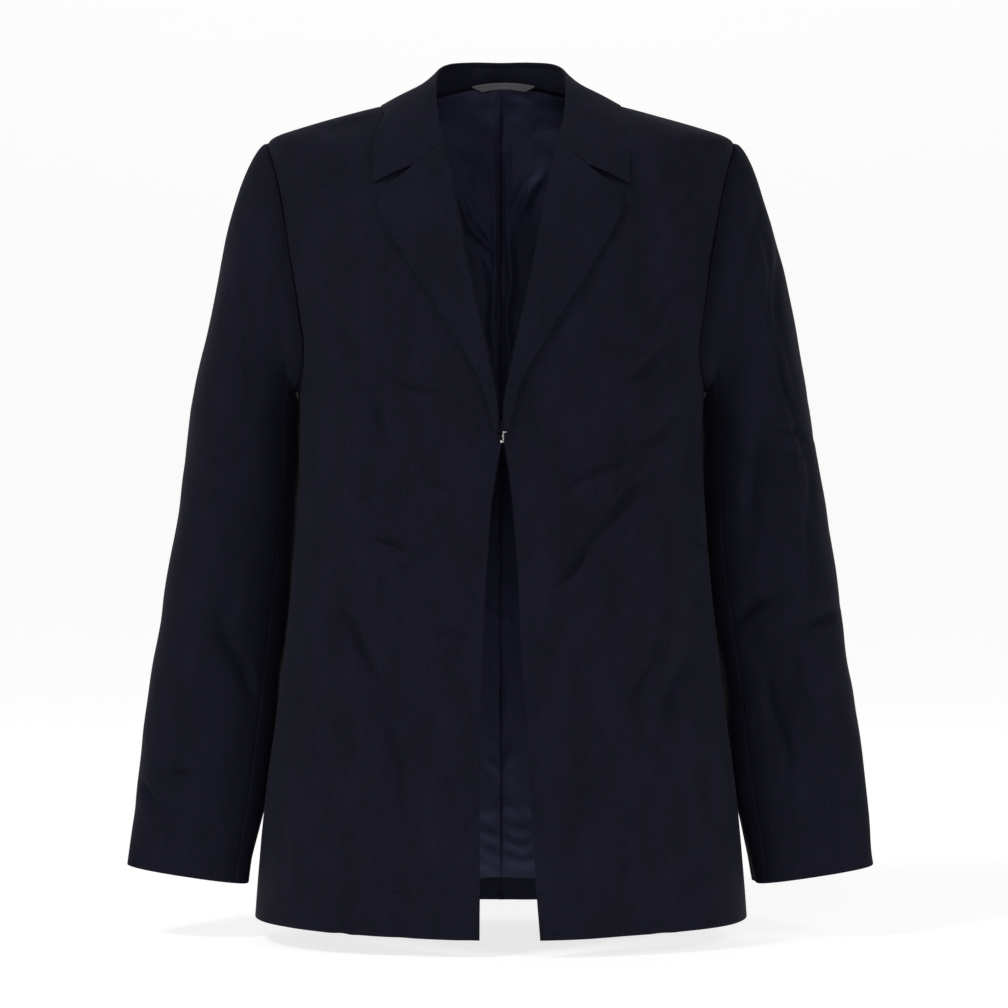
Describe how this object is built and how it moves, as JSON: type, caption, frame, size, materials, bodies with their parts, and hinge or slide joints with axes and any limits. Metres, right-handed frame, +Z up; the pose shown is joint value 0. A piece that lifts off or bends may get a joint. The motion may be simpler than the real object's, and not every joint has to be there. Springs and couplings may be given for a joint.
{
  "type": "suit jacket",
  "caption": "Long open-front suit jacket with notched lapels, set-in two-piece sleeves, back lining and a hook and eye at the break, filled out as worn.",
  "frame": {"origin": "base of the neck, midway between the two points where the shoulder seams meet the collar", "axes": "+Z up, +Y towards the back, so the front faces -Y, and +X towards the wearer's left"},
  "size_m": [0.643, 0.2408, 0.7421],
  "materials": {
    "shell_cloth": "matt slubby suiting, navy",
    "lining_cloth": "soft satin lining, navy",
    "label_tape": "grey satin tape, bare",
    "wire": "bright plated wire"
  },
  "bodies": {
    "root": {"front_left": "shell_cloth", "back_left": "shell_cloth", "facing_left": "shell_cloth", "lapel_left": "shell_cloth", "sleeve_top_left": "shell_cloth", "sleeve_under_left": "shell_cloth", "turn_front_left": "shell_cloth", "turn_back_left": "shell_cloth", "lining_front_left": "lining_cloth", "lining_back_left": "lining_cloth", "front_right": "shell_cloth", "back_right": "shell_cloth", "facing_right": "shell_cloth", "lapel_right": "shell_cloth", "sleeve_top_right": "shell_cloth", "sleeve_under_right": "shell_cloth", "turn_front_right": "shell_cloth", "turn_back_right": "shell_cloth", "lining_front_right": "lining_cloth", "lining_back_right": "lining_cloth", "collar": "shell_cloth", "collar_stand": "shell_cloth", "label": "label_tape", "fastening_bar": "wire", "fastening_hook": "wire"}
  },
  "joints": []
}
